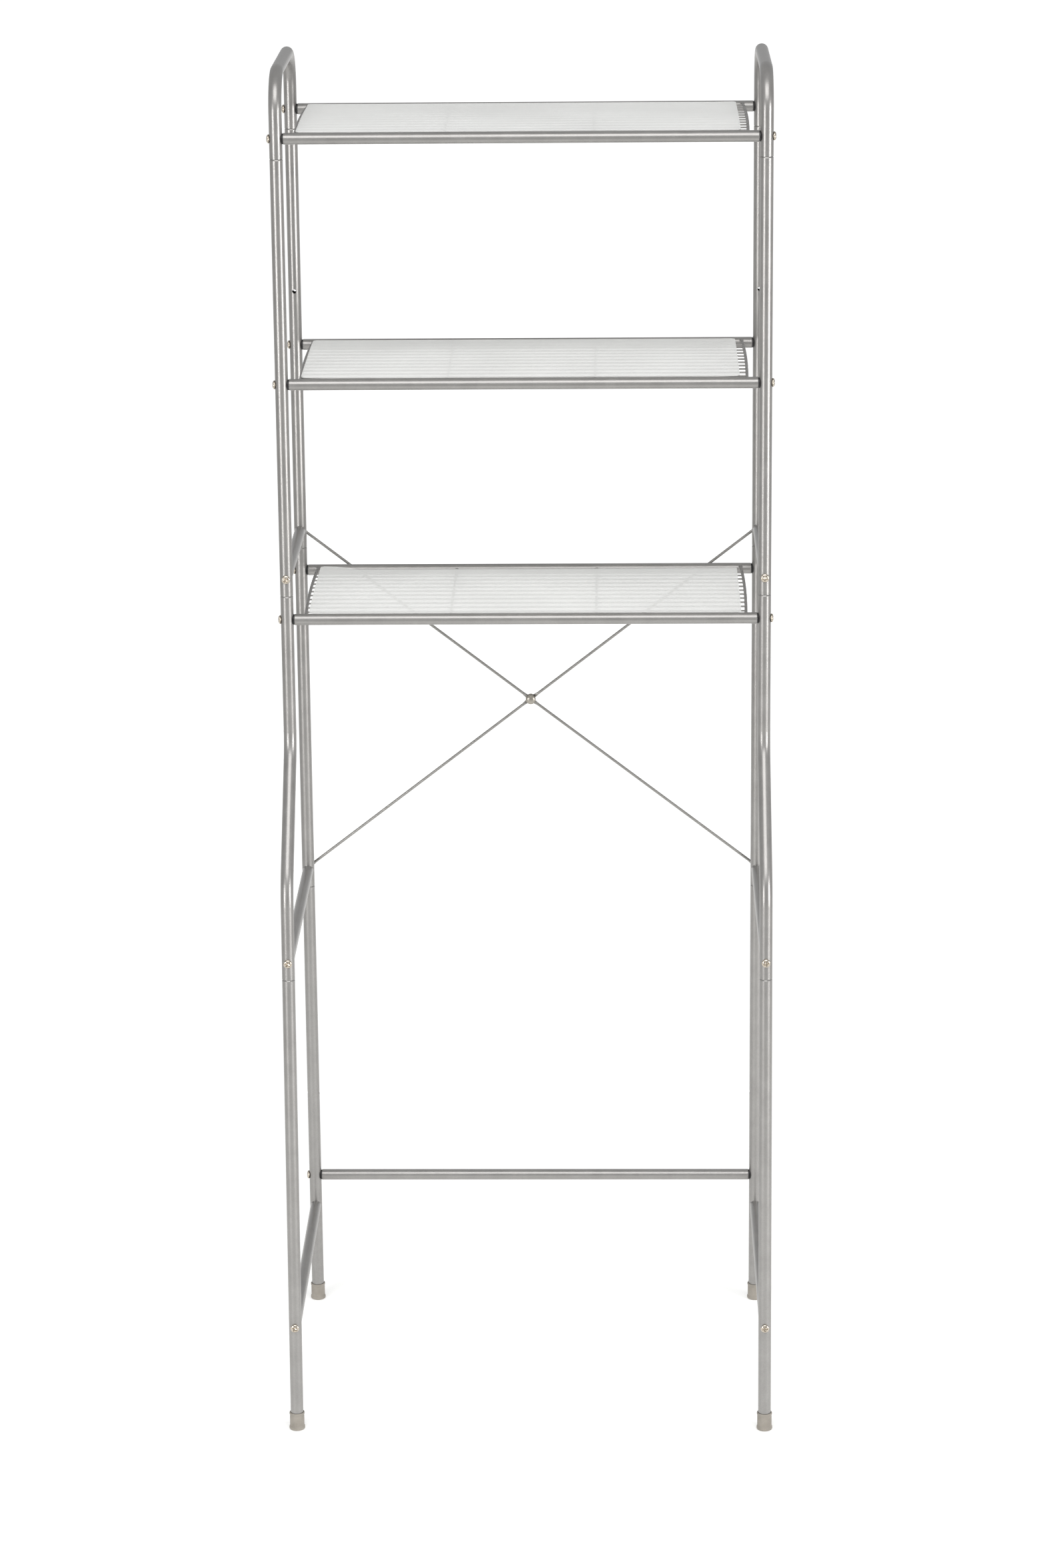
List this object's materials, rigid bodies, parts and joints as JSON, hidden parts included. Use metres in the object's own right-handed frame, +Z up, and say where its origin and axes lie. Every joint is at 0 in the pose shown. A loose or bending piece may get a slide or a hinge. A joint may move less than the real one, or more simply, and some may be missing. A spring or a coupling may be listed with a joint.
{
  "type": "over-the-toilet storage rack",
  "caption": "Free-standing tubular rack that straddles a toilet: wire shelves with loose plastic liners between hoop-topped side frames, a crossed rear brace and a low rear bar.",
  "frame": {"origin": "centre of the bounding box in X and Y, on the floor", "axes": "+Z up, -Y towards the front, +X to the right as seen from the front"},
  "size_m": [0.6106, 0.4165, 1.696],
  "materials": {
    "tube_paint": "satin nickel-coloured metallic paint",
    "wire_paint": "satin nickel-coloured metallic paint on wire",
    "rod_paint": "satin nickel-coloured metallic paint on rod",
    "rivet_nickel": "satin nickel",
    "screw_nickel": "bright nickel plating",
    "insert_steel": "zinc-plated steel",
    "plug_plastic": "black moulded plastic",
    "foot_vinyl": "soft grey vinyl",
    "liner_plastic": "frosted translucent sheet"
  },
  "bodies": {
    "frame": {"left_hoop": "tube_paint", "right_hoop": "tube_paint", "left_upper_front_post": "tube_paint", "right_upper_front_post": "tube_paint", "left_upper_rear_post": "tube_paint", "right_upper_rear_post": "tube_paint", "left_middle_front_post": "tube_paint", "right_middle_front_post": "tube_paint", "left_middle_rear_post": "tube_paint", "right_middle_rear_post": "tube_paint", "left_lower_front_leg": "tube_paint", "right_lower_front_leg": "tube_paint", "left_lower_rear_leg": "tube_paint", "right_lower_rear_leg": "tube_paint", "left_front_foot": "foot_vinyl", "right_front_foot": "foot_vinyl", "left_rear_foot": "foot_vinyl", "right_rear_foot": "foot_vinyl", "left_upper_side_bar": "tube_paint", "right_upper_side_bar": "tube_paint", "left_middle_side_bar": "tube_paint", "right_middle_side_bar": "tube_paint", "left_lower_side_bar": "tube_paint", "right_lower_side_bar": "tube_paint", "top_front_rail": "tube_paint", "top_rear_rail": "tube_paint", "middle_front_rail": "tube_paint", "middle_rear_rail": "tube_paint", "bottom_front_rail": "tube_paint", "bottom_rear_rail": "tube_paint", "top_wire_grid": "wire_paint", "middle_wire_grid": "wire_paint", "bottom_wire_grid": "wire_paint", "rear_bar": "tube_paint", "brace_rod_a": "rod_paint", "brace_rod_b": "rod_paint", "brace_rivet": "rivet_nickel", "shelf_rail_plugs": "plug_plastic", "rear_bar_plugs": "plug_plastic", "side_bar_inserts": "insert_steel", "shelf_screws": "screw_nickel", "side_bar_front_screws": "screw_nickel", "side_bar_rear_screws": "screw_nickel", "rear_bar_screws": "screw_nickel"},
    "top_liner_sheet": {"top_liner": "liner_plastic"},
    "middle_liner_sheet": {"middle_liner": "liner_plastic"},
    "bottom_liner_sheet": {"bottom_liner": "liner_plastic"}
  },
  "joints": [
    {"name": "top_liner_lift", "type": "slide", "parent": "frame", "child": "top_liner_sheet", "axis": [0, 0, 1], "range_m": [0, 0.12]},
    {"name": "middle_liner_lift", "type": "slide", "parent": "frame", "child": "middle_liner_sheet", "axis": [0, 0, 1], "range_m": [0, 0.12]},
    {"name": "bottom_liner_lift", "type": "slide", "parent": "frame", "child": "bottom_liner_sheet", "axis": [0, 0, 1], "range_m": [0, 0.12]}
  ]
}
